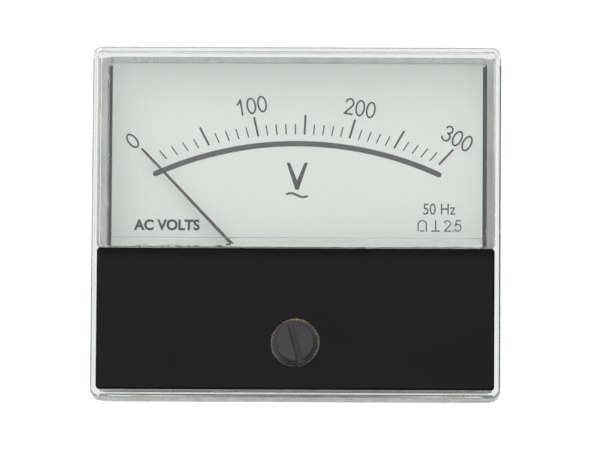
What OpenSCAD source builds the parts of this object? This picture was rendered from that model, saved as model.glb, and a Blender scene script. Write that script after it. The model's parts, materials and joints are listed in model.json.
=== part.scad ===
// Flush panel voltmeter with a moving-coil movement, a clear cover and a round rear barrel.
// Frame: origin on the barrel's axis at the base's rear face, front towards -Y, +Z up.

/* [Case] */
// Width of the front
case_w = 70; // [66:1:90]
// Height of the front
case_h = 60.4; // [59:0.2:72]
// Height of the front's centre above the barrel's axis
case_lift = 0; // [0:0.1:1]
// Depth of the base's tray in front of the panel
base_depth = 3.2; // [2.8:0.1:3.3]
// Side wall of the base's tray
base_wall = 1; // [0.8:0.1:1.4]
// Thickness of the base's floor
floor_t = 1.8; // [1.4:0.1:2.2]

/* [Barrel] */
// Radius of the rear barrel
barrel_r = 25.25; // [24.9:0.05:26]
// Length of the rear barrel behind the panel
barrel_len = 22; // [21:0.5:34]
// Side wall of the barrel
barrel_wall = 1.5; // [1.2:0.1:1.8]
// Rear wall of the barrel
rear_wall = 2; // [1.6:0.1:3]

/* [Clear cover] */
// Depth of the cover in front of its skirt
cover_depth = 8; // [7.6:0.1:9.5]
// Depth of the skirt that reaches back round the base
skirt_depth = 5; // [4.5:0.1:6.5]
// How far the skirt's outline lies inside the cover's
skirt_inset = 0.3; // [0.2:0.1:0.6]
// Distance from the cover's outline to the skirt's inner face
skirt_wall = 1.4; // [1.2:0.1:1.6]
// Corner radius of the skirt
skirt_corner_r = 2; // [1.5:0.1:3]
// Side walls of the cover
side_wall = 2.7; // [2.4:0.1:2.8]
// Top wall of the cover
top_wall = 2; // [1.8:0.1:2.4]
// Bottom wall of the cover
bottom_wall = 2; // [1.6:0.1:2.4]
// How far the raised window lies inside the cover's outline
window_inset = 1; // [0.5:0.1:1.1]
// Thickness of the window
window_t = 2; // [1.4:0.1:2.2]
// How much narrower each side is at the front than at the rear
cover_draft = 0.1; // [0:0.1:0.3]
// Corner radius of the cover
cover_corner_r = 1.6; // [1:0.1:3]
// Radius along the cover's front edges
cover_edge_r = 0.5; // [0.3:0.1:0.8]
// Drop from the front's centre to the window's lower edge
window_drop = 4.6; // [3:0.1:6]
// Height of the solid ledge along the window's lower edge
ledge_h = 1.8; // [1:0.1:2.4]
// Step from the window's face back to the rim round the mask
rim_step = 1.9; // [1.5:0.1:2.4]
// Thickness of the cover's wall behind the mask
lower_wall_t = 1.1; // [0.9:0.1:1.3]

/* [Mask] */
// Thickness of the black mask
mask_t = 0.9; // [0.7:0.1:1.2]
// Depth of the pocket that the mask sits in
mask_pocket = 0.5; // [0.3:0.1:0.7]
// Rim of clear plastic round the mask
mask_rim = 1; // [0.8:0.1:1.5]
// Clear plastic below the mask
mask_foot = 1.4; // [1:0.1:2]
// Corner radius of the mask
mask_corner_r = 0.6; // [0.3:0.1:1.5]

/* [Dial] */
// Gap between the dial's side edges and the cover's inner walls
dial_side_gap = 0.5; // [0.3:0.1:1.5]
// Thickness of the dial plate
dial_t = 0.8; // [0.4:0.1:0.9]
// Depth of the dial's rear face in front of the panel
dial_back = 3.4; // [3.2:0.1:3.8]
// Gap between the dial's top edge and the cover's inner wall
dial_top_gap = 0.15; // [0.1:0.05:1]
// How far the dial reaches below the pointer's axis
dial_foot = 4.3; // [3.6:0.1:6]
// Half width of the notch that clears the movement
notch_half_w = 12.5; // [11.8:0.1:13.5]

/* [Movement] */
// Drop from the front's centre to the pointer's axis
pivot_drop = 15.1; // [13.5:0.1:15.2]
// Angle of the zero mark to the left of upright
zero_angle = 43.4; // [35:0.2:45]
// Travel of the pointer past each end of the scale
over_travel = 4; // [2:0.5:5]
// Radius of the core magnet
core_r = 3.4; // [3.2:0.1:3.6]
// Air gap between the core magnet and the yoke ring
air_gap = 1.9; // [1.85:0.05:2]
// Radial thickness of the yoke ring
yoke_wall = 3; // [2.9:0.1:3.1]
// Length of the yoke ring along the axis
yoke_len = 7.5; // [6.5:0.5:8]
// Clearance of the coil from the iron at each side
coil_gap = 0.4; // [0.35:0.05:0.5]
// Length of the pointer from its axis
pointer_len = 38; // [34:0.5:38.5]
// Width of the pointer's blade at the hub
blade_root_w = 0.7; // [0.5:0.1:1]
// Width of the pointer's blade at the tip
blade_tip_w = 0.36; // [0.2:0.02:0.5]
// Radius of the balance weights
weight_r = 1.05; // [0.8:0.05:1.1]
// Distance of the pointer stops from the axis
stop_reach = 14; // [12:0.5:15]

/* [Zero adjuster] */
// Distance from the pointer's axis down to the adjuster
adjuster_drop = 5.6; // [5.4:0.1:6.4]
// Radius of the adjuster's head
adjuster_r = 3.35; // [2.5:0.05:3.6]
// Radius of the knurled flange under the head
knurl_r = 3.95; // [3.7:0.05:4.3]
// Radial clearance of the knurled flange in the mask
knurl_clearance = 0.25; // [0.1:0.05:0.5]
// Offset of the eccentric pin
eccentric = 0.9; // [0.6:0.05:1]
// Width of the screwdriver slot
slot_w = 1.2; // [0.8:0.1:1.5]
// Lean of the slot to the left of upright
slot_lean = 15; // [0:5:45]

/* [Rear] */
// Distance between the two terminals
terminal_pitch = 25; // [22:0.5:27]
// Height of the terminals above the barrel's axis
terminal_lift = 8; // [6:0.5:9]
// Radius of the terminal studs
terminal_r = 2; // [1.5:0.25:2.5]
// Free length of the terminal studs behind the barrel
terminal_len = 14; // [13.5:0.5:20]
// Distance between the mounting studs across the front
stud_pitch_x = 54; // [50:1:58]
// Distance between the mounting studs up the front
stud_pitch_z = 44; // [42:1:46]
// Radius of the mounting studs
stud_r = 1.5; // [1.25:0.25:2]
// Length of the mounting studs behind the panel face
stud_len = 14; // [8:1:20]

/* [Hidden] */
$fn = 48;
eps = 0.01;

// Loose clearance of a screw in its hole, running clearance of a turning part, gap between faces
screw_clearance = 0.05;
running_clearance = 0.06;
face_gap = 0.05;

// Case, along Y from the panel face at 0
case_top = case_lift + case_h / 2;
case_bottom = case_lift - case_h / 2;
skirt_y = -skirt_depth;
base_y = -base_depth;
floor_y = -floor_t;
cover_y = skirt_y - cover_depth;
window_back_y = cover_y + window_t;
rim_y = cover_y + rim_step;
pocket_y = rim_y + mask_pocket;
mask_y = pocket_y - mask_t;
lower_wall_y = pocket_y + lower_wall_t;
window_z = case_lift - window_drop;
cavity_w = case_w - 2 * side_wall;
cavity_top = case_top - top_wall;
cavity_bottom = case_bottom + bottom_wall;
cavity_corner_r = 0.8;
fit_gap = 0.1;
base_inset = skirt_wall + fit_gap;
base_corner_r = 1;

// Barrel and what passes through its rear wall
barrel_bore_r = barrel_r - barrel_wall;
barrel_inner_y = barrel_len - rear_wall;

// Screws that close the case, standing between the barrel and the lower edge
case_screw_x = 14;
case_screw_z = case_bottom + 4.4;
case_screw_r = 1;
case_boss_r = 2.1;
case_head_r = 1.75;
case_head_t = 1;

// Dial plate
dial_y = -dial_back - dial_t;
dial_top = cavity_top - dial_top_gap;
dial_w = cavity_w - 2 * dial_side_gap;
dial_post_x = 18;

// Movement, along Y
pivot_z = case_lift - pivot_drop;
adjuster_z = pivot_z - adjuster_drop;
dial_bottom = pivot_z - dial_foot;
frame_y0 = -dial_back;
frame_y1 = frame_y0 + 1.5;
frame_boss_h = 2.5;
yoke_y0 = frame_y1 + frame_boss_h;
yoke_y1 = yoke_y0 + yoke_len;
yoke_bore_r = core_r + air_gap;
yoke_r = yoke_bore_r + yoke_wall;
yoke_mid_r = yoke_bore_r + yoke_wall / 2;
core_inset = 0.2;
frame_disc_r = yoke_r - 0.2;
frame_bore_r = yoke_bore_r - 0.4;
frame_arm_h = 7;

// Legs that reach the barrel's rear wall, set by the bore's radius
leg_r = 2.6;
leg_x = sqrt(pow(barrel_bore_r - leg_r - 0.4, 2) - pow(pivot_z, 2));
leg_screw_r = 1.2;
leg_head_r = 2.3;
leg_head_t = 1.6;

// Coil: former inside, winding outside
coil_inner_x = core_r + coil_gap;
former_t = 0.3;
coil_outer_x = yoke_bore_r - coil_gap - 0.1;
coil_half_w = 0.8;
coil_end_gap = 0.3;
former_y0 = yoke_y0 - coil_end_gap;
former_y1 = yoke_y1 + coil_end_gap;
winding_t = coil_outer_x - coil_inner_x - former_t;
winding_y0 = former_y0 - former_t - winding_t;
winding_y1 = former_y1 + former_t + winding_t;

// Front and rear ends of the moving system
staff_r = 0.4;
tip_r = 0.18;
staff_foot_r = 1.6;
staff_foot_t = 0.2;
collet_r = 0.8;
pointer_t = 0.3;
pointer_y = dial_y - 2;
bridge_gap = 0.95;
bridge_t = 1;
bridge_back_y = pointer_y - pointer_t / 2 - bridge_gap;
bridge_y = bridge_back_y - bridge_t;
bridge_half_h = 2;
bridge_post_x = 9.5;
bridge_post_r = 1.6;
bridge_screw_r = 0.65;
jewel_r = 1;
jewel_bore_r = tip_r + running_clearance;
jewel_bore_depth = 0.4;
jewel_back_y = bridge_back_y + 0.3;
tip_reach = 0.25;
rear_gap = 2.9;
rear_bridge_y = winding_y1 + rear_gap;
rear_jewel_y = rear_bridge_y - 0.65;
lever_t = 0.4;
lever_y = bridge_y - face_gap - lever_t;
lock_nut_t = 0.35;
lock_nut_y = lever_y - face_gap - lock_nut_t;
jewel_front_y = lock_nut_y - 0.15;
rear_nut_t = 0.8;

// Hairsprings
spring_turns = 4;
spring_steps = 28;
spring_strip_t = 0.1;
spring_strip_h = 0.35;
spring_inner_r = collet_r + 0.15;
spring_outer_r = 3.55;
anchor_w = 0.5;
front_spring_y = bridge_back_y + 0.3;
rear_spring_y = winding_y1 + 1;

// Pointer balance: the tail weight's moment equals the blade's
weight_centre = 5.4;
alloy_density = 2.7;
brass_density = 8.5;
blade_area = pointer_len * (blade_root_w + blade_tip_w) / 2;
blade_centroid = pointer_len * (blade_root_w + 2 * blade_tip_w) / (3 * (blade_root_w + blade_tip_w));
blade_moment = alloy_density * pointer_t * blade_area * blade_centroid;
arm_w = 0.6;
arm_reach = weight_centre + 1.1;
tail_len = blade_moment / (brass_density * PI * pow(weight_r, 2) * weight_centre);
side_weight_r = 0.75;
side_len = 1.2;

// Pointer stops
stop_r = 0.4;
stop_blade_w = blade_root_w + (blade_tip_w - blade_root_w) * stop_reach / pointer_len;
stop_angle = zero_angle + over_travel + atan((stop_blade_w / 2 + stop_r + face_gap) / stop_reach);
stop_y = pointer_y - pointer_t / 2 - 0.6;

// Zero adjuster
shank_r = 1.5;
adjuster_y = mask_y - 1;
knurl_y = mask_y + 0.2;
head_rear_y = pocket_y - face_gap;
knurl_teeth = 40;
clip_t = 0.25;
clip_y = lower_wall_y + face_gap;
pin_r = 0.45;
shank_end_y = clip_y + clip_t + face_gap;
pin_y = bridge_y + 0.1;

// Rear fastenings
washer_t = 0.8;
terminal_nut_t = 3.2;
terminal_nut_r = 4.04;
lug_t = 0.5;
lug_y = barrel_len + washer_t + terminal_nut_t;
board_t = 1.6;
board_gap = 3.4;
board_y1 = barrel_inner_y - board_gap;
board_y0 = board_y1 - board_t;
board_nut_t = 2.4;
board_w = 30;
board_z0 = -2;
board_z1 = terminal_lift + 9;
stud_head_t = 1.5;
stud_head_r = 3.2;
stud_shoulder_r = stud_r + 0.3;
terminal_tip_len = 5;
terminal_tip_r = terminal_r - 0.2;

// ---- helpers -------------------------------------------------------------

// Flat shape drawn in X and Z, standing between two depths
module slab(y0, y1) {
    translate([0, y1, 0])
        rotate([90, 0, 0])
            linear_extrude(height = y1 - y0)
                children();
}

// Round bar along Y
module rod(x, z, y0, y1, r) {
    translate([x, y1, z])
        rotate([90, 0, 0])
            cylinder(h = y1 - y0, r = r);
}

// Rectangle with round corners, given by its limits
module round_box_2d(half_w, z0, z1, r) {
    offset(r = r, $fn = 32)
        translate([-half_w + r, z0 + r])
            square([2 * (half_w - r), z1 - z0 - 2 * r]);
}

// Places its children at +x and -x
module both_sides(x) {
    for (side = [-1, 1])
        translate([side * x, 0, 0])
            children();
}

// Moves to the pointer's axis, turned from mid scale to the zero mark
module at_zero() {
    translate([0, 0, pivot_z])
        rotate([0, -zero_angle, 0])
            children();
}

// Hexagon nut along Y with a round hole
module nut(y0, y1, r, hole_r) {
    slab(y0, y1)
        difference() {
            circle(r = r, $fn = 6);
            circle(r = hole_r);
        }
}

// Pan head screw along Y: its head starts at y and grows by head_t, its shank runs the other way
module screw(y, shank_len, shank_r, head_r, head_t, way) {
    head_y0 = way > 0 ? y : y - head_t;
    shank_y0 = way > 0 ? y - shank_len : y - eps;
    slot_y0 = way > 0 ? y + head_t * 0.45 : y - head_t - eps;
    difference() {
        union() {
            rod(0, 0, head_y0, head_y0 + head_t, head_r);
            rod(0, 0, shank_y0, shank_y0 + shank_len + eps, shank_r);
        }
        translate([-head_r, slot_y0, -head_r * 0.14])
            cube([2 * head_r, head_t * 0.55 + eps, head_r * 0.28]);
    }
}

// Thin slice of the cover's outline at one depth, inset from the case's edges
module cover_slice(y, inset, z0, corner_r) {
    half_w = case_w / 2 - inset;
    r = max(corner_r - inset, 0.3);
    for (side = [-1, 1]) {
        rod(side * (half_w - r), case_top - inset - r, y, y + eps, r, $fn = 32);
        rod(side * (half_w - r), z0 + r, y, y + eps, r, $fn = 32);
    }
}

// Block of the cover: one inset at the rear, drafted sides, round front edges
module cover_block(rear_y, front_y, inset, rear_z0, front_z0) {
    edge_y = front_y + cover_edge_r;
    hull() {
        cover_slice(rear_y - eps, inset, rear_z0, cover_corner_r);
        for (step = [0:3]) {
            a = 30 * step;
            back = cover_edge_r * (1 - cos(a));
            cover_slice(edge_y - cover_edge_r * sin(a), inset + cover_draft + back, front_z0 + back,
                        cover_corner_r);
        }
    }
}

// Spiral strip of a hairspring, its outer end straight down
module spiral_2d() {
    last = spring_turns * spring_steps;
    function radius(i) = spring_inner_r + (spring_outer_r - spring_inner_r) * i / last;
    function angle(i) = -90 - 360 * (last - i) / spring_steps;
    function at(i, r) = [r * cos(angle(i)), r * sin(angle(i))];
    outer = [for (i = [0:last]) at(i, radius(i) + spring_strip_t / 2)];
    inner = [for (i = [last:-1:0]) at(i, radius(i) - spring_strip_t / 2)];
    polygon(concat(outer, inner));
}

// Round wire swept along points
function unit(v) = v / norm(v);
function tangent(path, i) =
    unit(path[min(i + 1, len(path) - 1)] - path[max(i - 1, 0)]);
function side_of(t) = unit(cross(t, abs(t[0]) < 0.9 ? [1, 0, 0] : [0, 0, 1]));

module wire(path, r) {
    sides = 8;
    rings = len(path);
    points = [
        for (i = [0:rings - 1], k = [0:sides - 1])
            let (t = tangent(path, i), u = side_of(t), v = cross(t, u), a = 360 * k / sides)
                path[i] + r * (u * cos(a) + v * sin(a))
    ];
    first_cap = [[for (k = [0:sides - 1]) k]];
    last_cap = [[for (k = [sides - 1:-1:0]) (rings - 1) * sides + k]];
    walls = [
        for (i = [0:rings - 2], k = [0:sides - 1])
            let (a = i * sides + k, b = i * sides + (k + 1) % sides)
                [b, a, a + sides, b + sides]
    ];
    polyhedron(points = points, faces = concat(first_cap, walls, last_cap), convexity = 6);
}

// Curve through three control points, as a list of points
function bend(a, b, c, steps) = [
    for (i = [0:steps])
        let (s = i / steps)
            a * pow(1 - s, 2) + 2 * b * s * (1 - s) + c * pow(s, 2)
];

// ---- case ----------------------------------------------------------------

// Clear cover: raised window above, a wall with a pocket for the mask below, a skirt round the base
module front_cover() {
    color([0.85, 0.9, 0.92, 0.35])
        difference() {
            union() {
                difference() {
                    union() {
                        cover_block(rim_y + 1, cover_y, window_inset, window_z, window_z);
                        cover_block(skirt_y, rim_y, 0, case_bottom, case_bottom + cover_draft);
                        slab(skirt_y - eps, -fit_gap)
                            round_box_2d(case_w / 2 - skirt_inset, case_bottom + skirt_inset, case_top - skirt_inset,
                                         skirt_corner_r);
                    }
                    slab(lower_wall_y, 1)
                        round_box_2d(cavity_w / 2, cavity_bottom, cavity_top, cavity_corner_r);
                    slab(window_back_y, skirt_y)
                        round_box_2d(cavity_w / 2, window_z + ledge_h, cavity_top, cavity_corner_r);
                    slab(base_y, 1)
                        round_box_2d(case_w / 2 - skirt_wall, case_bottom + skirt_wall, case_top - skirt_wall,
                                     base_corner_r + fit_gap);
                    slab(rim_y - 1, pocket_y)
                        round_box_2d(case_w / 2 - mask_rim - fit_gap / 2, case_bottom + mask_foot - fit_gap / 2,
                                     window_z + fit_gap / 2, mask_corner_r);
                }
                both_sides(case_screw_x)
                    rod(0, case_screw_z, lower_wall_y - eps, skirt_y - eps, case_boss_r);
            }
            both_sides(case_screw_x)
                rod(0, case_screw_z, lower_wall_y + 0.4, skirt_y + 1, case_screw_r + screw_clearance);
            rod(0, adjuster_z, pocket_y - 1, lower_wall_y + 1, shank_r + running_clearance);
        }
}

// Opaque mask over the movement, with a hole for the adjuster
module lower_mask() {
    lip = 0.3;
    color([0.13, 0.12, 0.12])
        difference() {
            union() {
                slab(mask_y + lip, pocket_y)
                    round_box_2d(case_w / 2 - mask_rim - fit_gap, case_bottom + mask_foot,
                                 window_z, mask_corner_r);
                slab(mask_y, mask_y + lip)
                    round_box_2d(case_w / 2 - mask_rim - fit_gap - lip, case_bottom + mask_foot + lip,
                                 window_z - lip, mask_corner_r);
            }
            rod(0, adjuster_z, mask_y - 1, pocket_y + 1, knurl_r + knurl_clearance);
        }
}

// Black base: shallow tray inside the cover's skirt and the barrel that goes through the panel
module base_housing() {
    inset = base_inset + base_wall;
    color([0.09, 0.09, 0.1])
        difference() {
            union() {
                difference() {
                    union() {
                        slab(base_y, 0)
                            round_box_2d(case_w / 2 - base_inset, case_bottom + base_inset, case_top - base_inset,
                                         base_corner_r);
                        rod(0, 0, -eps, barrel_len, barrel_r, $fn = 96);
                    }
                    slab(base_y - 1, floor_y)
                        round_box_2d(case_w / 2 - inset, case_bottom + inset, case_top - inset, cavity_corner_r);
                    rod(0, 0, floor_y - 1, barrel_inner_y, barrel_bore_r, $fn = 96);
                }
                both_sides(case_screw_x)
                    rod(0, case_screw_z, skirt_y, floor_y + eps, case_boss_r);
                both_sides(dial_post_x)
                    rod(0, dial_top - 3, -dial_back, floor_y + eps, 2);
            }
            both_sides(case_screw_x) {
                rod(0, case_screw_z, skirt_y - 1, 1, case_screw_r + screw_clearance);
                rod(0, case_screw_z, -case_head_t - 0.1, 1, case_head_r + 0.1);
            }
            both_sides(stud_pitch_x / 2)
                for (z = [-1, 1])
                    rod(0, z * stud_pitch_z / 2, floor_y - 1, 1, stud_shoulder_r + screw_clearance);
            both_sides(leg_x)
                rod(0, pivot_z, barrel_inner_y - 1, barrel_len + 1, leg_screw_r + screw_clearance);
            both_sides(terminal_pitch / 2)
                rod(0, terminal_lift, barrel_inner_y - 1, barrel_len + 1, terminal_r + screw_clearance);
        }
}

// Two screws that hold the cover, entered from behind
module case_screws() {
    head_y = -case_head_t;
    color([0.72, 0.72, 0.7])
        both_sides(case_screw_x)
            translate([0, 0, case_screw_z])
                screw(head_y, head_y - skirt_y + 3, case_screw_r, case_head_r, case_head_t, 1);
}

// Four studs that pull the base against a panel, each with a shoulder in the floor
module mounting_studs() {
    color([0.78, 0.66, 0.4])
        both_sides(stud_pitch_x / 2)
            for (z = [-1, 1]) {
                translate([0, 0, z * stud_pitch_z / 2]) {
                    slab(floor_y - stud_head_t, floor_y)
                        circle(r = stud_head_r, $fn = 6);
                    rod(0, 0, floor_y - eps, 0, stud_shoulder_r);
                    rod(0, 0, -eps, stud_len, stud_r);
                }
            }
}

// ---- dial ----------------------------------------------------------------

// Printed plate, notched below where the movement comes through
module dial_plate() {
    color([0.83, 0.85, 0.83])
        difference() {
            slab(dial_y, -dial_back)
                round_box_2d(dial_w / 2, dial_bottom, dial_top, 0.8);
            slab(dial_y - 1, 1)
                translate([-notch_half_w, dial_bottom - 1])
                    square([2 * notch_half_w, pivot_z + 7 - dial_bottom + 1]);
            both_sides(leg_x)
                rod(0, pivot_z, dial_y - 1, 1, 0.75 + screw_clearance);
            for (side = [-1, 1])
                translate([0, 0, pivot_z])
                    rotate([0, side * stop_angle, 0])
                        rod(0, stop_reach, dial_y - 1, 1, stop_r);
        }
}

module dial_screws() {
    color([0.75, 0.75, 0.74])
        both_sides(leg_x)
            translate([0, 0, pivot_z])
                screw(dial_y, dial_t + 3.5, 0.75, 1.5, 0.8, -1);
}

// Two pins that end the pointer's travel
module pointer_stops() {
    color([0.2, 0.2, 0.2])
        for (side = [-1, 1])
            translate([0, 0, pivot_z])
                rotate([0, side * stop_angle, 0])
                    rod(0, stop_reach, stop_y, -dial_back, stop_r);
}

// ---- movement ------------------------------------------------------------

// Cast frame: disc in front of the yoke, posts for the bridge, legs to the rear wall
module movement_frame() {
    color([0.66, 0.67, 0.68])
        difference() {
            union() {
                slab(frame_y0, frame_y1) {
                    translate([0, pivot_z])
                        circle(r = frame_disc_r, $fn = 96);
                    translate([-leg_x - leg_r, pivot_z - frame_arm_h / 2])
                        square([2 * (leg_x + leg_r), frame_arm_h]);
                }
                both_sides(bridge_post_x)
                    rod(0, pivot_z, bridge_back_y, frame_y0 + eps, bridge_post_r);
                both_sides(leg_x)
                    rod(0, pivot_z, frame_y1 - eps, barrel_inner_y, leg_r);
                for (side = [-1, 1])
                    rod(0, pivot_z + side * yoke_mid_r, frame_y1 - eps, yoke_y0, yoke_wall / 2);
            }
            rod(0, pivot_z, frame_y0 - 1, frame_y1 + 1, frame_bore_r);
            both_sides(bridge_post_x)
                rod(0, pivot_z, bridge_back_y - 1, bridge_back_y + 3, bridge_screw_r + screw_clearance);
            both_sides(leg_x) {
                rod(0, pivot_z, frame_y0 - 1, frame_y0 + 4.5, 0.75 + screw_clearance);
                rod(0, pivot_z, barrel_inner_y - 6, barrel_inner_y + 1, leg_screw_r + screw_clearance);
            }
            for (side = [-1, 1]) {
                rod(0, pivot_z + side * yoke_mid_r, frame_y0 - 1, yoke_y0 + 1, 0.8 + screw_clearance);
                rod(0, pivot_z + side * yoke_mid_r, frame_y0 - 1, frame_y0 + 1, 1.55);
            }
        }
}

// Two screws through the barrel's rear wall into the frame's legs
module movement_screws() {
    color([0.75, 0.75, 0.74])
        both_sides(leg_x)
            translate([0, 0, pivot_z])
                screw(barrel_len, rear_wall + 5, leg_screw_r, leg_head_r, leg_head_t, 1);
}

// Soft iron ring that closes the magnet's field
module yoke_ring() {
    color([0.42, 0.43, 0.45])
        difference() {
            rod(0, pivot_z, yoke_y0, yoke_y1, yoke_r, $fn = 96);
            rod(0, pivot_z, yoke_y0 - 1, yoke_y1 + 1, yoke_bore_r, $fn = 96);
            for (side = [-1, 1])
                rod(0, pivot_z + side * yoke_mid_r, yoke_y0 - 1, yoke_y0 + 4.5, 0.8 + screw_clearance);
            both_sides(yoke_mid_r)
                rod(0, pivot_z, yoke_y1 - 4, yoke_y1 + 1, 0.8 + screw_clearance);
        }
}

module yoke_screws() {
    color([0.75, 0.75, 0.74])
        for (side = [-1, 1])
            translate([0, 0, pivot_z + side * yoke_mid_r])
                screw(frame_y0 + 1, yoke_y0 - frame_y0 + 2.8, 0.8, 1.5, 0.85, -1);
}

// Round magnet inside the coil
module core_magnet() {
    color([0.3, 0.31, 0.33])
        rod(0, pivot_z, yoke_y0 + core_inset, yoke_y1 - core_inset, core_r, $fn = 96);
}

// Two brass segments that hold the magnet in the ring, clear of the coil's sweep
module core_supports() {
    half_angle = 27;
    reach = yoke_bore_r * 2;
    color([0.8, 0.68, 0.35])
        translate([0, 0, pivot_z])
            for (turn = [0, 180])
                slab(yoke_y0 + core_inset, yoke_y1 - core_inset)
                    rotate(turn)
                        intersection() {
                            difference() {
                                circle(r = yoke_bore_r - 0.02, $fn = 96);
                                circle(r = core_r + 0.02, $fn = 96);
                            }
                            polygon([[0, 0], [-reach * sin(half_angle), reach * cos(half_angle)],
                                     [reach * sin(half_angle), reach * cos(half_angle)]]);
                        }
}

// Bar over the pointer's hub that carries the front jewel
module front_bridge() {
    color([0.8, 0.68, 0.35])
        difference() {
            slab(bridge_y, bridge_back_y)
                translate([-bridge_post_x - bridge_post_r, pivot_z - bridge_half_h])
                    square([2 * (bridge_post_x + bridge_post_r), 2 * bridge_half_h]);
            rod(0, pivot_z, bridge_y - 1, bridge_back_y + 1, jewel_r + 0.02);
            both_sides(bridge_post_x)
                rod(0, pivot_z, bridge_y - 1, bridge_back_y + 1, bridge_screw_r + screw_clearance);
        }
}

module bridge_screws() {
    color([0.75, 0.75, 0.74])
        both_sides(bridge_post_x)
            translate([0, 0, pivot_z])
                screw(bridge_y, bridge_t + 2.6, bridge_screw_r, 1.3, 0.6, -1);
}

module front_jewel_screw() {
    color([0.82, 0.7, 0.38])
        difference() {
            rod(0, pivot_z, jewel_front_y, jewel_back_y, jewel_r);
            rod(0, pivot_z, jewel_back_y - jewel_bore_depth, jewel_back_y + 1, jewel_bore_r);
            translate([-2, jewel_front_y - eps, pivot_z - 0.15])
                cube([4, 0.3, 0.3]);
        }
}

module front_lock_nut() {
    color([0.78, 0.66, 0.36])
        translate([0, 0, pivot_z])
            nut(lock_nut_y, lock_nut_y + lock_nut_t, 1.9, jewel_r + 0.02);
}

// Bar behind the ring that carries the rear jewel and the rear spring's anchor
module rear_bridge() {
    anchor_r = spring_outer_r + spring_strip_t / 2;
    color([0.8, 0.68, 0.35])
        difference() {
            union() {
                slab(rear_bridge_y, rear_bridge_y + bridge_t)
                    translate([0, pivot_z]) {
                        translate([-yoke_mid_r - 1.5, -bridge_half_h])
                            square([2 * (yoke_mid_r + 1.5), 2 * bridge_half_h]);
                        translate([-anchor_w, -anchor_r - anchor_w])
                            square([2 * anchor_w, anchor_r + anchor_w]);
                    }
                both_sides(yoke_mid_r)
                    rod(0, pivot_z, yoke_y1, rear_bridge_y + eps, 1.5);
                translate([-anchor_w / 2, rear_spring_y, pivot_z - anchor_r - anchor_w])
                    cube([anchor_w, rear_bridge_y - rear_spring_y + eps, anchor_w]);
            }
            rod(0, pivot_z, rear_bridge_y - 1, rear_bridge_y + bridge_t + 1, jewel_r + 0.02);
            both_sides(yoke_mid_r)
                rod(0, pivot_z, yoke_y1 - 1, rear_bridge_y + bridge_t + 1, 0.8 + screw_clearance);
        }
}

module rear_bridge_screws() {
    color([0.75, 0.75, 0.74])
        both_sides(yoke_mid_r)
            translate([0, 0, pivot_z])
                screw(rear_bridge_y + bridge_t, rear_bridge_y + bridge_t - yoke_y1 + 3, 0.8, 1.5, 0.8, 1);
}

module rear_jewel_screw() {
    end_y = rear_bridge_y + bridge_t + rear_nut_t + 0.4;
    color([0.82, 0.7, 0.38])
        difference() {
            rod(0, pivot_z, rear_jewel_y, end_y, jewel_r);
            rod(0, pivot_z, rear_jewel_y - 1, rear_jewel_y + jewel_bore_depth, jewel_bore_r);
            translate([-2, end_y - 0.3, pivot_z - 0.15])
                cube([4, 0.3 + eps, 0.3]);
        }
}

module rear_lock_nut() {
    color([0.78, 0.66, 0.36])
        translate([0, 0, pivot_z])
            nut(rear_bridge_y + bridge_t, rear_bridge_y + bridge_t + rear_nut_t, 2, jewel_r + 0.02);
}

// ---- moving coil and pointer ---------------------------------------------

// Rectangular loop round the magnet, between two sizes
module coil_loop(half_x0, half_x1, y0, y1, thickness, half_w) {
    difference() {
        translate([-half_x1, y0 - thickness, -half_w])
            cube([2 * half_x1, y1 - y0 + 2 * thickness, 2 * half_w]);
        translate([-half_x0, y0, -half_w - 1])
            cube([2 * half_x0, y1 - y0, 2 * half_w + 2]);
    }
}

module coil_former() {
    color([0.75, 0.76, 0.78])
        at_zero()
            coil_loop(coil_inner_x, coil_inner_x + former_t, former_y0, former_y1, former_t, coil_half_w);
}

module coil_winding() {
    color([0.7, 0.35, 0.15])
        at_zero()
            coil_loop(coil_inner_x + former_t, coil_outer_x, former_y0 - former_t, former_y1 + former_t,
                      winding_t, coil_half_w - 0.1);
}

// Half staffs glued to the coil's ends, each with a fine pivot
module pivot_staffs() {
    rear_spring_mid_y = rear_spring_y + spring_strip_h / 2;
    color([0.6, 0.61, 0.63])
        at_zero() {
            rod(0, 0, winding_y0 - staff_foot_t, winding_y0, staff_foot_r);
            rod(0, 0, jewel_back_y + 0.1, winding_y0 - staff_foot_t + eps, staff_r);
            rod(0, 0, jewel_back_y - tip_reach, jewel_back_y + 0.1 + eps, tip_r);
            rod(0, 0, front_spring_y, pointer_y - pointer_t / 2, collet_r);
            rod(0, 0, winding_y1, winding_y1 + staff_foot_t, staff_foot_r);
            rod(0, 0, winding_y1 + staff_foot_t - eps, rear_jewel_y - 0.1, staff_r);
            rod(0, 0, rear_jewel_y - 0.1 - eps, rear_jewel_y + tip_reach, tip_r);
            rod(0, 0, rear_spring_mid_y - 0.3, rear_spring_mid_y + 0.3, collet_r);
        }
}

// Thin blade with a round hub, a tail and two side arms
module pointer() {
    color([0.05, 0.05, 0.05])
        at_zero()
            slab(pointer_y - pointer_t / 2, pointer_y + pointer_t / 2)
                difference() {
                    union() {
                        circle(r = 1.8);
                        polygon([[-blade_root_w / 2, 1], [blade_root_w / 2, 1],
                                 [blade_tip_w / 2, pointer_len], [-blade_tip_w / 2, pointer_len]]);
                        translate([-arm_w / 2, -arm_reach])
                            square([arm_w, arm_reach - 1]);
                        translate([-arm_reach, -arm_w / 2])
                            square([arm_reach - 1, arm_w]);
                        translate([1, -arm_w / 2])
                            square([arm_reach - 1, arm_w]);
                    }
                    circle(r = staff_r + 0.02);
                }
}

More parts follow.
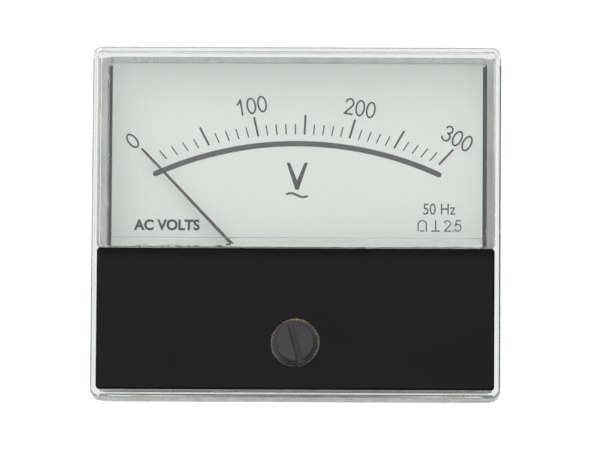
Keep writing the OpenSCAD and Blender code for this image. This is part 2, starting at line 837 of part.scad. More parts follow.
// Sleeves on the tail and side arms that balance the blade
module balance_weights() {
    hole_w = arm_w + 0.04;
    hole_t = pointer_t + 0.04;
    color([0.78, 0.66, 0.36])
        at_zero()
            for (arm = [[90, side_weight_r, side_len], [180, weight_r, tail_len], [270, side_weight_r, side_len]])
                translate([0, pointer_y, 0])
                    rotate([0, arm[0], 0])
                        translate([0, 0, weight_centre - arm[2] / 2])
                            difference() {
                                cylinder(h = arm[2], r = arm[1]);
                                translate([-hole_w / 2, -hole_t / 2, -1])
                                    cube([hole_w, hole_t, arm[2] + 2]);
                            }
}

module front_hairspring() {
    color([0.7, 0.55, 0.3])
        translate([0, 0, pivot_z])
            slab(front_spring_y, front_spring_y + spring_strip_h)
                spiral_2d();
}

module rear_hairspring() {
    color([0.7, 0.55, 0.3])
        translate([0, 0, pivot_z])
            slab(rear_spring_y, rear_spring_y + spring_strip_h)
                spiral_2d();
}

// ---- zero adjuster -------------------------------------------------------

// Lever that turns about the front jewel screw: spring anchor behind, fork below
module zero_lever() {
    anchor_r = spring_outer_r + spring_strip_t / 2;
    fork_gap = 2 * (pin_r + running_clearance);
    fork_top = adjuster_drop - eccentric - pin_r - 0.2;
    fork_end = adjuster_drop + 0.2;
    fork_half_w = fork_gap / 2 + 0.7;
    color([0.82, 0.7, 0.38])
        translate([0, 0, pivot_z]) {
            slab(lever_y, lever_y + lever_t)
                difference() {
                    union() {
                        circle(r = 2.1);
                        translate([-0.9, -fork_top])
                            square([1.8, fork_top]);
                        translate([-fork_half_w, -fork_end])
                            square([2 * fork_half_w, fork_end - anchor_r - 0.1]);
                    }
                    circle(r = jewel_r + running_clearance);
                    translate([-fork_gap / 2, -fork_end - 1])
                        square([fork_gap, fork_end + 1 - fork_top]);
                }
            translate([-anchor_w / 2, lever_y + lever_t - eps, -anchor_r - anchor_w])
                cube([anchor_w, front_spring_y + spring_strip_h - lever_y - lever_t + eps, anchor_w]);
        }
}

// Slotted head with a knurled flange, a shank through the cover and an eccentric pin
module zero_screw() {
    color([0.1, 0.1, 0.1])
        translate([0, 0, adjuster_z])
            difference() {
                union() {
                    rotate([90, 0, 0])
                        rotate_extrude($fn = 72)
                            polygon([[0, -head_rear_y], [adjuster_r, -head_rear_y],
                                     [adjuster_r, -adjuster_y - 0.25], [adjuster_r - 0.25, -adjuster_y],
                                     [0, -adjuster_y]]);
                    slab(knurl_y, head_rear_y)
                        polygon([for (i = [0:2 * knurl_teeth - 1])
                            let (a = 180 * i / knurl_teeth, r = knurl_r - (i % 2) * 0.25)
                                [r * cos(a), r * sin(a)]]);
                    rod(0, 0, head_rear_y - eps, shank_end_y, shank_r);
                    rod(0, eccentric, shank_end_y - eps, pin_y, pin_r);
                }
                rotate([0, -slot_lean, 0])
                    translate([-slot_w / 2, adjuster_y - 1, -5])
                        cube([slot_w, 1 + 1.1, 10]);
            }
}

// Push-on washer that keeps the adjuster in the cover
module zero_clip() {
    color([0.7, 0.7, 0.7])
        translate([0, 0, adjuster_z])
            slab(clip_y, clip_y + clip_t)
                difference() {
                    circle(r = 2.5);
                    circle(r = shank_r + 0.02);
                }
}

// ---- circuit and terminals -----------------------------------------------

module circuit_board() {
    color([0.55, 0.45, 0.2])
        difference() {
            slab(board_y0, board_y1)
                translate([-board_w / 2, board_z0])
                    square([board_w, board_z1 - board_z0]);
            both_sides(terminal_pitch / 2)
                rod(0, terminal_lift, board_y0 - 1, board_y1 + 1, terminal_r + screw_clearance);
        }
}

// Inner nuts that clamp the board and hold it off the rear wall
module board_nuts() {
    color([0.8, 0.69, 0.4])
        both_sides(terminal_pitch / 2)
            translate([0, 0, terminal_lift]) {
                nut(board_y1, barrel_inner_y, terminal_nut_r, terminal_r + screw_clearance);
                nut(board_y0 - board_nut_t, board_y0, terminal_nut_r, terminal_r + screw_clearance);
            }
}

// Part with two straight ends bent back to the board
module axial_part(half_len, r, lead_reach) {
    lift = r + 0.5;
    lead_r = 0.25;
    translate([0, board_y0 - lift, 0]) {
        rotate([0, 90, 0])
            translate([0, 0, -half_len])
                cylinder(h = 2 * half_len, r = r);
        rotate([0, 90, 0])
            translate([0, 0, -lead_reach])
                cylinder(h = 2 * lead_reach, r = lead_r);
        for (side = [-1, 1])
            translate([side * (lead_reach - lead_r), lift, 0])
                rotate([90, 0, 0])
                    cylinder(h = lift + lead_r, r = lead_r * 0.96);
    }
}

module rectifier_diodes() {
    color([0.55, 0.25, 0.12])
        for (column = [-1, 1], row = [0, 1])
            translate([column * 3.8, 0, row * 2.6 - 0.4])
                axial_part(1.8, 0.9, 3);
}

module multiplier_resistor() {
    color([0.35, 0.5, 0.6])
        translate([0, 0, board_z1 - 2.6])
            axial_part(4.6, 1.7, 6.4);
}

// Square trimmer with a slotted disc
module trim_resistor() {
    half = 3;
    centre_z = terminal_lift;
    color([0.15, 0.3, 0.55])
        difference() {
            union() {
                translate([-half, board_y0 - 3.4, centre_z - half])
                    cube([2 * half, 3.4, 2 * half]);
                rod(0, centre_z, board_y0 - 4.2, board_y0 - 3.4 + eps, 2);
            }
            translate([-1.6, board_y0 - 4.3, centre_z - 0.3])
                cube([3.2, 0.6, 0.6]);
        }
}

// Insulated leads from the board to the rear bridge and to the frame
module lead_wires() {
    wire_r = 0.45;
    board_x = 8;
    start_y = board_y0 - 0.5;
    bridge_mid_y = rear_bridge_y + bridge_t / 2;
    bridge_end = [6, bridge_mid_y, pivot_z + bridge_half_h + 0.15];
    frame_end = [-yoke_mid_r - 4.5, frame_y1 + wire_r + 0.05, pivot_z + 2.6];
    color([0.7, 0.1, 0.1])
        wire(concat([[board_x, board_y0, 0]],
                    bend([board_x, start_y, 0], [board_x, bridge_mid_y, 0], bridge_end, 12)), wire_r);
    color([0.1, 0.1, 0.12])
        wire(concat([[-board_x, board_y0, 0]],
                    bend([-board_x, start_y, 0], [-board_x, yoke_y1 + 2.4, 0], [-12, yoke_y1 - 0.6, -1], 9),
                    bend([-12.6, yoke_y1 - 1.4, -1.2], [-15.4, yoke_y0 + 1, -2.6], frame_end, 10)), wire_r);
}

// Terminal studs with a turned-down end
module terminal_studs() {
    end_y = barrel_len + terminal_len;
    tip_y = end_y - terminal_tip_len;
    color([0.82, 0.71, 0.42])
        both_sides(terminal_pitch / 2) {
            rod(0, terminal_lift, board_y0 - board_nut_t - 0.6, tip_y, terminal_r);
            rod(0, terminal_lift, tip_y - eps, end_y, terminal_tip_r);
        }
}

module terminal_nuts() {
    color([0.82, 0.71, 0.42])
        both_sides(terminal_pitch / 2)
            translate([0, 0, terminal_lift]) {
                nut(barrel_len + washer_t, lug_y, terminal_nut_r, terminal_r + screw_clearance);
                nut(lug_y + lug_t + washer_t, lug_y + lug_t + washer_t + terminal_nut_t, terminal_nut_r,
                    terminal_r + screw_clearance);
            }
}

module terminal_washers() {
    color([0.76, 0.76, 0.74])
        both_sides(terminal_pitch / 2)
            translate([0, 0, terminal_lift])
                for (y = [barrel_len, lug_y + lug_t])
                    slab(y, y + washer_t)
                        difference() {
                            circle(r = terminal_nut_r + 0.5);
                            circle(r = terminal_r + screw_clearance);
                        }
}

// Solder tags that stand out above the terminals
module solder_lugs() {
    tag_len = 11;
    color([0.8, 0.8, 0.78])
        both_sides(terminal_pitch / 2)
            translate([0, 0, terminal_lift])
                slab(lug_y, lug_y + lug_t)
                    difference() {
                        union() {
                            circle(r = 4);
                            translate([-1.5, 0])
                                square([3, tag_len - 1.5]);
                            translate([0, tag_len - 1.5])
                                circle(r = 1.5);
                        }
                        circle(r = terminal_r + screw_clearance);
                        translate([0, tag_len - 1.7])
                            circle(r = 0.8);
                    }
}

front_cover();
lower_mask();
base_housing();
case_screws();
mounting_studs();
dial_plate();
dial_screws();
pointer_stops();
movement_frame();
movement_screws();
yoke_ring();
yoke_screws();
core_magnet();
core_supports();
front_bridge();
bridge_screws();
front_jewel_screw();
front_lock_nut();
rear_bridge();
rear_bridge_screws();
rear_jewel_screw();
rear_lock_nut();
coil_former();
coil_winding();
pivot_staffs();
pointer();
balance_weights();
front_hairspring();
rear_hairspring();
zero_lever();
zero_screw();
zero_clip();
circuit_board();
board_nuts();
rectifier_diodes();
multiplier_resistor();
trim_resistor();
lead_wires();
terminal_studs();
terminal_nuts();
terminal_washers();
solder_lugs();
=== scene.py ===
"""Looks for the panel voltmeter: materials, printed dial, cover finish with painted shade on its edges, painted
light on the base's rim, light and camera.
"""

import json
import math

import bmesh
import bpy
from mathutils import Matrix, Vector


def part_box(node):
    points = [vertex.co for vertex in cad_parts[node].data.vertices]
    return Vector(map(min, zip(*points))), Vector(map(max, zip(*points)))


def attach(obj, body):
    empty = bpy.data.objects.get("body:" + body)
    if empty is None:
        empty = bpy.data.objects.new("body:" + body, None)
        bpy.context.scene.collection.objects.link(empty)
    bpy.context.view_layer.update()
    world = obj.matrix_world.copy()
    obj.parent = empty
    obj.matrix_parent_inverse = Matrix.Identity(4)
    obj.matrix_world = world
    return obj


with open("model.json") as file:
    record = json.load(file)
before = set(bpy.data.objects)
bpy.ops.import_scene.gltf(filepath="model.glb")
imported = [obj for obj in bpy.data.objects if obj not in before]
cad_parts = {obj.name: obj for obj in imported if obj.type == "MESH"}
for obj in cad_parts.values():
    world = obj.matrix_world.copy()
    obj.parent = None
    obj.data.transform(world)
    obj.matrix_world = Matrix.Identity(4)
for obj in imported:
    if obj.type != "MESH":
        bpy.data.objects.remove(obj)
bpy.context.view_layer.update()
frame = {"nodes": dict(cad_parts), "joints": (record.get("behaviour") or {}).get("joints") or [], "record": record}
NODES = frame["nodes"]
MM = 0.001

# ---- places taken from the frame --------------------------------------------

JOINTS = {joint["name"]: joint for joint in frame["joints"]}
PIVOT = Vector(JOINTS["pointer_swing"]["pos_m"])
CASE_LOW, CASE_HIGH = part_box("front_cover")
DIAL_LOW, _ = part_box("dial_plate")
_, MASK_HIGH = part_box("lower_mask")
BASE_LOW, BASE_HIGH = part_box("base_housing")
FRONT_CENTRE = Vector((0, CASE_LOW.y, (CASE_LOW.z + CASE_HIGH.z) / 2))

# ---- camera -----------------------------------------------------------------

CAMERA_AZIMUTH = 1.4
CAMERA_ELEVATION = -7.0
CAMERA_ROLL = 0.4
CAMERA_DISTANCE = 1.2
VIEW_WIDTH = 102.13 * MM
SENSOR = 36
AIM_RIGHT = 0.75 * MM
AIM_UP = -0.83 * MM
CLIP_START = 0.01
CLIP_END = 20


def make_camera():
    a = math.radians(CAMERA_AZIMUTH)
    e = math.radians(CAMERA_ELEVATION)
    back = Vector((math.sin(a) * math.cos(e), -math.cos(a) * math.cos(e), math.sin(e)))
    right = Vector((math.cos(a), math.sin(a), 0))
    up = back.cross(right)
    data = bpy.data.cameras.new("camera")
    data.sensor_width = SENSOR
    data.lens = SENSOR * CAMERA_DISTANCE / VIEW_WIDTH
    data.clip_start = CLIP_START
    data.clip_end = CLIP_END
    camera = bpy.data.objects.new("camera", data)
    bpy.context.scene.collection.objects.link(camera)
    aim = FRONT_CENTRE + right * AIM_RIGHT + up * AIM_UP
    camera.rotation_mode = "QUATERNION"
    turn = Matrix.Rotation(math.radians(CAMERA_ROLL), 4, back).to_quaternion()
    camera.rotation_quaternion = turn @ (-back).to_track_quat("-Z", "Y")
    camera.location = aim + back * CAMERA_DISTANCE
    bpy.context.scene.camera = camera


# ---- material helpers ---------------------------------------------------------


class Shader:
    """A new material with a Principled shader and short calls for its nodes."""

    def __init__(self, name):
        self.material = bpy.data.materials.new(name)
        self.material.use_nodes = True
        self.tree = self.material.node_tree
        self.surface = self.tree.nodes["Principled BSDF"]
        self.coords = self.tree.nodes.new("ShaderNodeTexCoord").outputs["Object"]

    def add(self, kind, **inputs):
        node = self.tree.nodes.new(kind)
        for name, value in inputs.items():
            self.set(node.inputs[name.replace("_", " ")], value)
        return node

    def set(self, socket, value):
        if isinstance(value, bpy.types.NodeSocket):
            self.tree.links.new(value, socket)
        else:
            socket.default_value = value

    def base(self, **values):
        for name, value in values.items():
            self.set(self.surface.inputs[name.replace("_", " ")], value)

    def stretched(self, scale):
        return self.add("ShaderNodeMapping", Vector=self.coords, Scale=scale).outputs["Vector"]

    def noise(self, per_mm, detail=3.0, stretch=None, rough=0.5):
        vector = self.stretched(stretch) if stretch else self.coords
        scale = per_mm / MM
        node = self.add("ShaderNodeTexNoise", Vector=vector, Scale=scale, Detail=detail, Roughness=rough)
        return node.outputs["Fac"]

    def spread(self, value, low, high, from_low=0.3, from_high=0.7):
        node = self.add(
            "ShaderNodeMapRange",
            Value=value,
            From_Min=from_low,
            From_Max=from_high,
            To_Min=low,
            To_Max=high,
        )
        return node.outputs["Result"]

    def tint(self, fac, first, second):
        node = self.tree.nodes.new("ShaderNodeMix")
        node.data_type = "RGBA"
        self.set(node.inputs["Factor"], fac)
        self.set(node.inputs[6], (*first, 1))
        self.set(node.inputs[7], (*second, 1))
        return node.outputs[2]

    def bump(self, height, depth_mm, strength=1.0):
        node = self.add("ShaderNodeBump", Height=height, Distance=depth_mm * MM, Strength=strength)
        self.set(self.surface.inputs["Normal"], node.outputs["Normal"])


def moulded_plastic(name, colour, rough, grain_mm, grain_depth, gloss=0.5):
    s = Shader(name)
    patches = s.noise(0.12, 4)
    grain = s.noise(1 / grain_mm, 2)
    darker = tuple(0.82 * c for c in colour)
    s.base(
        Base_Color=s.tint(s.spread(patches, 0, 1), darker, colour),
        Roughness=s.spread(patches, rough - 0.05, rough + 0.06),
        Specular_IOR_Level=gloss,
    )
    s.bump(grain, grain_depth)
    return s.material


def turned_metal(name, colour, rough, scratch=(6.0, 0.5, 6.0)):
    s = Shader(name)
    marks = s.noise(1.2, 4, stretch=scratch, rough=0.6)
    stain = s.noise(0.25, 3)
    darker = tuple(0.72 * c for c in colour)
    s.base(
        Base_Color=s.tint(s.spread(stain, 0, 1), darker, colour),
        Metallic=1.0,
        Roughness=s.spread(marks, rough - 0.07, rough + 0.1),
    )
    s.bump(marks, 0.012, 0.5)
    return s.material


def clear_plastic():
    s = Shader("clear_cover")
    waves = s.noise(0.09, 2)
    dust = s.noise(1.1, 5, rough=0.7)
    s.base(
        Base_Color=(0.985, 0.992, 0.988, 1),
        Roughness=s.spread(dust, 0.0, 0.05, 0.45, 0.75),
        IOR=1.5,
        Transmission_Weight=1.0,
    )
    s.bump(waves, 0.02, 0.35)
    return s.material


def cover_edge(name, colour):
    """Rough clear plastic for the cover's edges and ledge, tinted by the given colour; the grey tint on the edges
    is painted shade that dims what lies behind, and the roughness softens it.
    """
    s = Shader(name)
    drawn = s.noise(0.5, 4, stretch=(1, 0.2, 1), rough=0.6)
    s.base(
        Base_Color=(*colour, 1),
        Roughness=s.spread(drawn, 0.12, 0.3),
        IOR=1.5,
        Transmission_Weight=1.0,
    )
    s.bump(drawn, 0.02, 0.4)
    return s.material


def dial_paint():
    s = Shader("dial_paint")
    cloud = s.noise(0.03, 2)
    grain = s.noise(9, 2)
    s.base(
        Base_Color=s.tint(s.spread(cloud, 0, 1), (0.80, 0.83, 0.81), (0.825, 0.85, 0.83)),
        Roughness=s.spread(grain, 0.46, 0.6),
        Specular_IOR_Level=0.4,
    )
    s.bump(grain, 0.004, 0.6)
    return s.material


def dial_ink(name, colour):
    s = Shader(name)
    grain = s.noise(14, 3)
    darker = tuple(0.7 * c for c in colour)
    s.base(
        Base_Color=s.tint(s.spread(grain, 0, 1), darker, colour),
        Roughness=s.spread(grain, 0.4, 0.55),
    )
    s.bump(grain, 0.003, 0.5)
    return s.material


def cast_metal(name, colour, rough, metallic=1.0):
    s = Shader(name)
    pits = s.noise(3.5, 5, rough=0.65)
    patches = s.noise(0.2, 3)
    darker = tuple(0.7 * c for c in colour)
    s.base(
        Base_Color=s.tint(s.spread(patches, 0, 1), darker, colour),
        Metallic=metallic,
        Roughness=s.spread(pits, rough - 0.08, rough + 0.1),
    )
    s.bump(pits, 0.03, 0.6)
    return s.material


def board_laminate():
    s = Shader("board_laminate")
    fibre = s.noise(2.2, 4, stretch=(1, 1, 5))
    s.base(
        Base_Color=s.tint(s.spread(fibre, 0, 1), (0.36, 0.22, 0.07), (0.52, 0.36, 0.13)),
        Roughness=s.spread(fibre, 0.35, 0.5),
        Coat_Weight=0.3,
        Coat_Roughness=0.2,
    )
    s.bump(fibre, 0.01, 0.4)
    return s.material


def wound_wire():
    s = Shader("copper_wire")
    # The wave bands paint the copper darker in the grooves between turns: painted shade, with a bump along the
    # same bands
    turns = s.add("ShaderNodeTexWave", Vector=s.coords, Scale=1.6 / MM, Distortion=0.3)
    turns.bands_direction = "Z"
    s.base(
        Base_Color=s.tint(turns.outputs["Fac"], (0.35, 0.09, 0.03), (0.75, 0.3, 0.12)),
        Metallic=0.7,
        Roughness=s.spread(turns.outputs["Fac"], 0.25, 0.45, 0, 1),
    )
    s.bump(turns.outputs["Fac"], 0.05, 0.8)
    return s.material


MATERIALS = {
    "clear_cover": clear_plastic(),
    "mask_black": moulded_plastic("mask_black", (0.0048, 0.0042, 0.0044), 0.55, 0.09, 0.006, 0.1),
    "base_black": moulded_plastic("base_black", (0.013, 0.013, 0.014), 0.36, 0.25, 0.006),
    "zinc_steel": turned_metal("zinc_steel", (0.66, 0.67, 0.68), 0.3),
    "plated_brass": turned_metal("plated_brass", (0.83, 0.66, 0.33), 0.27),
    "dial_paint": dial_paint(),
    "cast_alloy": cast_metal("cast_alloy", (0.62, 0.63, 0.65), 0.42),
    "soft_iron": cast_metal("soft_iron", (0.3, 0.31, 0.33), 0.45),
    "magnet_alloy": cast_metal("magnet_alloy", (0.2, 0.21, 0.23), 0.38),
    "former_alloy": turned_metal("former_alloy", (0.8, 0.81, 0.83), 0.25),
    "copper_wire": wound_wire(),
    "staff_steel": turned_metal("staff_steel", (0.6, 0.61, 0.63), 0.2),
    "pointer_black": dial_ink("pointer_black", (0.012, 0.012, 0.012)),
    "spring_bronze": turned_metal("spring_bronze", (0.78, 0.52, 0.25), 0.24),
    "adjuster_black": moulded_plastic("adjuster_black", (0.02, 0.019, 0.019), 0.4, 0.14, 0.006, 0.4),
    "board_laminate": board_laminate(),
    "diode_glass": moulded_plastic("diode_glass", (0.42, 0.1, 0.03), 0.2, 0.8, 0.004),
    "resistor_blue": moulded_plastic("resistor_blue", (0.16, 0.34, 0.48), 0.3, 0.3, 0.008),
    "trimmer_blue": moulded_plastic("trimmer_blue", (0.03, 0.11, 0.4), 0.32, 0.3, 0.006),
    "wire_insulation": moulded_plastic("wire_insulation", (0.4, 0.03, 0.03), 0.4, 0.4, 0.006),
    "tinned_metal": turned_metal("tinned_metal", (0.78, 0.78, 0.77), 0.3),
}
INK = dial_ink("dial_ink", (0.018, 0.018, 0.018))
BAND_INK = dial_ink("band_ink", (0.055, 0.057, 0.056))
# Pale colour laid over the black rim is painted light, standing in for light scattered in the cover's clear walls
RIM_PAINTED_LIGHT = moulded_plastic("rim_painted_light", (0.8, 0.805, 0.8), 0.6, 0.3, 0.02, 0.3)
# The edges' grey tint is painted shade, darkening the clear walls for the dark reflections seen in them
COVER_EDGE_SHADE = cover_edge("cover_edge", (0.53, 0.54, 0.535))
COVER_LEDGE = cover_edge("cover_ledge", (0.97, 0.98, 0.975))

# ---- painted shade and finish of the cover, painted light on the base's rim -------

# Slots of the edges' painted shade and the ledge's finish on the cover's mesh
EDGE_SLOT = 1
LEDGE_SLOT = 2
# A face counts as facing an axis when its normal's part along it is larger than this
FACING = 0.5
LEDGE_FOOT = MASK_HIGH.z - 0.1 * MM
LEDGE_H = 2.2 * MM
WINDOW_REACH = 3.6 * MM
# Just inside the rear end of the cover's walls, in front of the base's rim
RIM_BAND_BACK_Y = -3.23 * MM
RIM_BAND_FRONT_Y = -3.26 * MM
RIM_BAND_W = 1 * MM


def make_rim_band():
    """Pale band along the base's front rim, seen through the cover's clear walls: painted light over the black
    rim.
    """
    bm = bmesh.new()
    outer = [
        (BASE_LOW.x, BASE_LOW.z),
        (BASE_HIGH.x, BASE_LOW.z),
        (BASE_HIGH.x, BASE_HIGH.z),
        (BASE_LOW.x, BASE_HIGH.z),
    ]
    inner = [(x - math.copysign(RIM_BAND_W, x), z - math.copysign(RIM_BAND_W, z)) for x, z in outer]
    rings = [[bm.verts.new((x, RIM_BAND_FRONT_Y, z)) for x, z in ring] for ring in (outer, inner)]
    for i in range(4):
        k = (i + 1) % 4
        bm.faces.new((rings[0][i], rings[0][k], rings[1][k], rings[1][i]))
    thicken(bm, RIM_BAND_BACK_Y - RIM_BAND_FRONT_Y)
    return finish_piece(bm, "rim_band", RIM_PAINTED_LIGHT)


def dress_cover():
    """Keeps the faces along the front polished; the ledge gets its finish and the other faces the grey tint of
    painted shade.
    """
    cover = NODES["front_cover"]
    mesh = cover.data
    mesh.materials.append(COVER_EDGE_SHADE)
    mesh.materials.append(COVER_LEDGE)
    for face in mesh.polygons:
        corners = [cover.matrix_world @ mesh.vertices[i].co for i in face.vertices]
        normal = (corners[1] - corners[0]).cross(corners[2] - corners[0]).normalized()
        front = max(corner.y for corner in corners) < CASE_LOW.y + WINDOW_REACH
        at_ledge = abs(normal.z) > FACING and all(
            0 < corner.z - LEDGE_FOOT < LEDGE_H for corner in corners
        )
        if at_ledge:
            face.material_index = LEDGE_SLOT
        elif not (front and abs(normal.y) > FACING):
            face.material_index = EDGE_SLOT


def dress_nodes():
    for entry in frame["record"]["subparts"]:
        mesh = NODES[entry["node"]].data
        mesh.materials.clear()
        mesh.materials.append(MATERIALS[entry["material_slot"]])


# ---- printed dial ---------------------------------------------------------------

# Print stands just in front of the dial; scale values are in volts
PRINT_LIFT = 0.02 * MM
PRINT_DEPTH = 0.03 * MM
SCALE_TOP = 300
SCALE_STEP = 10
MAJOR_STEP = 50
SCALE_HALF_ANGLE = math.radians(43.3)
SCALE_BOW = 0.105
ARC_DROP = 29.18 * MM
BAND_R = 58.5 * MM
BAND_W = 0.92 * MM
BAND_HALF_CHORD = 24.3 * MM
TICK_IN_R = 60.1 * MM
MINOR_OUT_R = 61.9 * MM
MAJOR_OUT_R = 63.5 * MM
MINOR_W = 0.2 * MM
MAJOR_W = 0.34 * MM
BAND_STEPS = 64
BAND_END_STEPS = 8


def scale_angle(value):
    """Angle of a scale value from upright, to the right."""
    share = value / SCALE_TOP
    return SCALE_HALF_ANGLE * (2 * (share + SCALE_BOW * share * (1 - share)) - 1)


def reach_to_arc(angle, radius):
    """Distance from the pointer's axis to a circle whose centre lies ARC_DROP below that axis."""
    return -ARC_DROP * math.cos(angle) + math.sqrt(radius**2 - (ARC_DROP * math.sin(angle)) ** 2)


def dial_mesh(name, outlines, material):
    """Thin raised print from closed outlines, each a list of (x, z) from the pointer's axis."""
    bm = bmesh.new()
    y_front = DIAL_LOW.y - PRINT_LIFT - PRINT_DEPTH
    for outline in outlines:
        corners = [bm.verts.new((PIVOT.x + x, y_front, PIVOT.z + z)) for x, z in outline]
        bm.faces.new(corners)
    thicken(bm, PRINT_DEPTH)
    return finish_piece(bm, name, material)


def thicken(bm, depth):
    """Gives flat faces a depth towards the rear."""
    made = bmesh.ops.extrude_face_region(bm, geom=list(bm.faces))
    moved = [v for v in made["geom"] if isinstance(v, bmesh.types.BMVert)]
    bmesh.ops.translate(bm, verts=moved, vec=(0, depth, 0))
    bmesh.ops.recalc_face_normals(bm, faces=bm.faces)


def finish_piece(bm, name, material, body="case"):
    mesh = bpy.data.meshes.new(name)
    bm.to_mesh(mesh)
    bm.free()
    mesh.materials.append(material)
    piece = bpy.data.objects.new(name, mesh)
    bpy.context.scene.collection.objects.link(piece)
    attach(piece, body)
    return piece


def ribbon(path, width, cap=0):
    """Outline of a band of even width along a path, with round ends of cap segments."""
    half = width / 2
    left, right = [], []
    for i, point in enumerate(path):
        before = Vector(path[max(i - 1, 0)])
        after = Vector(path[min(i + 1, len(path) - 1)])
        along = (after - before).normalized()
        side = Vector((-along.y, along.x)) * half
        left.append(Vector(point) + side)
        right.append(Vector(point) - side)
    ends = []
    for tip, inner in ((path[-1], path[-2]), (path[0], path[1])):
        out = math.atan2(tip[1] - inner[1], tip[0] - inner[0])
        turns = [out + math.pi / 2 - math.pi * k / cap for k in range(1, cap)] if cap else []
        ends.append([Vector((tip[0] + half * math.cos(t), tip[1] + half * math.sin(t))) for t in turns])
    return [tuple(v) for v in left + ends[0] + right[::-1] + ends[1]]


def tick(value):
    angle = scale_angle(value)
    major = value % MAJOR_STEP == 0
    start = reach_to_arc(angle, TICK_IN_R)
    end = reach_to_arc(angle, MAJOR_OUT_R if major else MINOR_OUT_R)
    along = Vector((math.sin(angle), math.cos(angle)))
    return ribbon([tuple(along * start), tuple(along * end)], MAJOR_W if major else MINOR_W)


def make_scale():
    values = range(0, SCALE_TOP + 1, SCALE_STEP)
    dial_mesh("scale_ticks", [tick(v) for v in values], INK)
    half = math.asin(BAND_HALF_CHORD / BAND_R)
    turns = [half * (2 * i / BAND_STEPS - 1) for i in range(BAND_STEPS + 1)]
    path = [(BAND_R * math.sin(t), BAND_R * math.cos(t) - ARC_DROP) for t in turns]
    dial_mesh("scale_band", [ribbon(path, BAND_W, BAND_END_STEPS)], BAND_INK)


LETTER_STEPS = 6
LETTER_WELD = 0.0005 * MM


def lettering(name, text, height_mm, width_mm, centre_mm, weight_mm=0.0):
    """Flat letters of an exact size, centred on a point from the pointer's axis."""
    curve = bpy.data.curves.new(name, "FONT")
    curve.body = text
    curve.offset = weight_mm
    curve.resolution_u = LETTER_STEPS
    holder = bpy.data.objects.new(name, curve)
    bpy.context.scene.collection.objects.link(holder)
    bpy.context.view_layer.update()
    graph = bpy.context.evaluated_depsgraph_get()
    flat = bpy.data.meshes.new_from_object(holder.evaluated_get(graph))
    bpy.data.objects.remove(holder)
    bm = bmesh.new()
    bm.from_mesh(flat)
    xs = [v.co.x for v in bm.verts]
    ys = [v.co.y for v in bm.verts]
    middle = Vector(((min(xs) + max(xs)) / 2, (min(ys) + max(ys)) / 2))
    sx = width_mm * MM / (max(xs) - min(xs))
    sz = height_mm * MM / (max(ys) - min(ys))
    for v in bm.verts:
        v.co = (
            PIVOT.x + centre_mm[0] * MM + (v.co.x - middle.x) * sx,
            DIAL_LOW.y - PRINT_LIFT - PRINT_DEPTH,
            PIVOT.z + centre_mm[1] * MM + (v.co.y - middle.y) * sz,
        )
    bmesh.ops.remove_doubles(bm, verts=bm.verts, dist=LETTER_WELD)
    thicken(bm, PRINT_DEPTH)
    return finish_piece(bm, name, INK)


def oval(x, z, half_w, half_h, start, end, steps=20):
    """Points of an elliptic arc, its angles in degrees from the right, anticlockwise."""
    turns = [math.radians(start + (end - start) * i / steps) for i in range(steps + 1)]
    return [(x + half_w * math.cos(t), z + half_h * math.sin(t)) for t in turns]


# Centre lines of each sign's strokes, in shares of its width and height
STROKES = {
    "0": [oval(0.5, 0.5, 0.5, 0.5, 90, 270), oval(0.5, 0.5, 0.5, 0.5, 270, 450)],
    "1": [[(0.12, 0.72), (0.38, 0.82), (0.56, 1)], [(0.6, 1), (0.6, 0)]],
    "2": [oval(0.48, 0.72, 0.46, 0.28, 168, -38) + [(0.04, 0.02)], [(0, 0), (1, 0)]],
    "3": [oval(0.48, 0.765, 0.42, 0.235, 160, -90), oval(0.48, 0.265, 0.5, 0.265, 90, -160)],
    "5": [[(0.24, 1), (0.92, 1)], [(0.26, 1), (0.14, 0.5)], oval(0.47, 0.33, 0.5, 0.33, 142, -152)],
    ".": [[(0.3, 0), (0.7, 0)]],
    "horseshoe": [[(0, 0)] + oval(0.5, 0.6, 0.5, 0.4, 180, 0) + [(1, 0)], [(0.3, 0.01), (0.7, 0.01)]],
    "upright": [[(0.5, 1), (0.5, 0)], [(0, 0), (1, 0)]],
}


STROKE_END_STEPS = 6


def stroke_outlines(signs, height_mm, width_mm, advance_mm, weight_mm, centre_mm, lean=0.0):
    """Outlines of a row of signs, centred on a point from the pointer's axis and turned anticlockwise."""
    turn = math.radians(lean)
    inner_w = width_mm - weight_mm
    inner_h = height_mm - weight_mm
    outlines = []
    for i, sign in enumerate(signs):
        offset = (i - (len(signs) - 1) / 2) * advance_mm
        for stroke in STROKES[sign]:
            path = []
            for u, v in stroke:
                x = offset + (u - 0.5) * inner_w
                z = (v - 0.5) * inner_h
                path.append((
                    (centre_mm[0] + x * math.cos(turn) - z * math.sin(turn)) * MM,
                    (centre_mm[1] + x * math.sin(turn) + z * math.cos(turn)) * MM,
                ))
            outlines.append(ribbon(path, weight_mm * MM, STROKE_END_STEPS))
    return outlines


DIGIT_H = 2.9
DIGIT_W = 1.66
DIGIT_ADVANCE = 1.86
DIGIT_WEIGHT = 0.29
# Centre of each number in mm from the pointer's axis, and its lean in degrees
NUMBER_PLACES = {
    "0": (-28.3, 29.7, 40),
    "100": (-7.95, 35.83, 10),
    "200": (10.75, 35.5, -10),
    "300": (27.45, 30.3, -27),
}


def make_numbers():
    for text, (x, z, lean) in NUMBER_PLACES.items():
        outlines = stroke_outlines(text, DIGIT_H, DIGIT_W, DIGIT_ADVANCE, DIGIT_WEIGHT, (x, z), lean)
        dial_mesh("number_" + text, outlines, INK)


UNIT_TOP = 26.02
UNIT_FOOT = 21.35
UNIT_HALF_W = 1.81
UNIT_ARM_W = 0.56
UNIT_FOOT_W = 0.58
UNIT_CROTCH = 22.95
WAVE_Z = 20.41
WAVE_HALF_W = 1.74
WAVE_PERIOD = 4.2
WAVE_RISE = 0.33
WAVE_WEIGHT = 0.36
WAVE_HALF_STEPS = 20


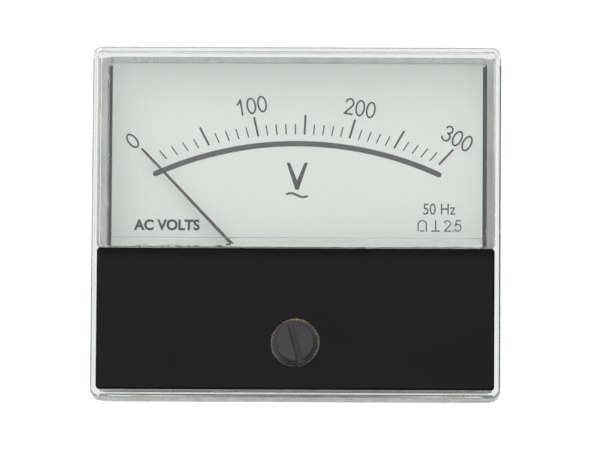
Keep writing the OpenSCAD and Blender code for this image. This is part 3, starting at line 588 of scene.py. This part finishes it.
def make_unit():
    left = [(-UNIT_FOOT_W / 2, UNIT_FOOT), (-UNIT_HALF_W, UNIT_TOP), (UNIT_ARM_W - UNIT_HALF_W, UNIT_TOP)]
    right = [(-x, z) for x, z in reversed(left)]
    corners = left + [(0, UNIT_CROTCH)] + right
    dial_mesh("unit_v", [[(x * MM, z * MM) for x, z in reversed(corners)]], INK)
    xs = [WAVE_HALF_W * (i / WAVE_HALF_STEPS - 1) for i in range(2 * WAVE_HALF_STEPS + 1)]
    wave = [(x * MM, (WAVE_Z - WAVE_RISE * math.sin(2 * math.pi * x / WAVE_PERIOD)) * MM) for x in xs]
    dial_mesh("unit_wave", [ribbon(wave, WAVE_WEIGHT * MM, STROKE_END_STEPS)], INK)


SYMBOL_Z = 15.2
SYMBOL_H = 2.0
SYMBOL_WEIGHT = 0.2
# Each sign's width and its centre to the right of the pointer's axis, in mm
SYMBOL_ROW = [
    ("horseshoe", 1.6, 21.5),
    ("upright", 1.6, 23.8),
    ("2", 1.3, 25.85),
    (".", 0.4, 26.8),
    ("5", 1.3, 27.6),
]
FREQUENCY_H = 1.95
FREQUENCY_W = 5.5
FREQUENCY_PLACE = (24.4, 18.1)
QUANTITY_H = 1.9
QUANTITY_W = 11.3
QUANTITY_PLACE = (-22.3, 15.2)
QUANTITY_WEIGHT = 0.035


def make_symbols():
    outlines = []
    for sign, width, x in SYMBOL_ROW:
        outlines += stroke_outlines([sign], SYMBOL_H, width, 0, SYMBOL_WEIGHT, (x, SYMBOL_Z))
    dial_mesh("class_symbols", outlines, INK)
    lettering("frequency_note", "50 Hz", FREQUENCY_H, FREQUENCY_W, FREQUENCY_PLACE)
    lettering("quantity_note", "AC VOLTS", QUANTITY_H, QUANTITY_W, QUANTITY_PLACE, QUANTITY_WEIGHT)


make_camera()
dress_nodes()
make_rim_band()
dress_cover()
make_scale()
make_numbers()
make_unit()
make_symbols()

# ---- floor and light ----------------------------------------------------------------

FLOOR_DROP = 0.6
FLOOR_RADIUS = 6
FLOOR_SEGMENTS = 64
WORLD_STRENGTH = 1.15
KEY_PLACE = (-0.5, -0.7, 0.8)
KEY_SIZE = (0.7, 0.5)
KEY_POWER = 16


def make_floor():
    bm = bmesh.new()
    bmesh.ops.create_circle(bm, cap_ends=True, segments=FLOOR_SEGMENTS, radius=FLOOR_RADIUS)
    mesh = bpy.data.meshes.new("floor")
    bm.to_mesh(mesh)
    bm.free()
    s = Shader("floor")
    fine = s.noise(0.01, 2)
    s.base(Base_Color=s.tint(fine, (0.58, 0.58, 0.58), (0.62, 0.62, 0.62)), Roughness=0.7)
    mesh.materials.append(s.material)
    floor = bpy.data.objects.new("floor", mesh)
    floor.location = (0, 0, CASE_LOW.z - FLOOR_DROP)
    bpy.context.scene.collection.objects.link(floor)


def make_world():
    world = bpy.data.worlds.new("studio")
    world.use_nodes = True
    background = world.node_tree.nodes["Background"]
    background.inputs["Color"].default_value = (1, 1, 1, 1)
    background.inputs["Strength"].default_value = WORLD_STRENGTH
    bpy.context.scene.world = world


def soft_box(name, place, size, power):
    data = bpy.data.lights.new(name, "AREA")
    data.shape = "RECTANGLE"
    data.size = size[0]
    data.size_y = size[1]
    data.energy = power
    light = bpy.data.objects.new(name, data)
    light.location = FRONT_CENTRE + Vector(place)
    light.rotation_mode = "QUATERNION"
    light.rotation_quaternion = (-Vector(place)).to_track_quat("-Z", "Y")
    bpy.context.scene.collection.objects.link(light)


make_floor()
make_world()
soft_box("key_light", KEY_PLACE, KEY_SIZE, KEY_POWER)
bpy.context.scene.view_settings.view_transform = "Standard"
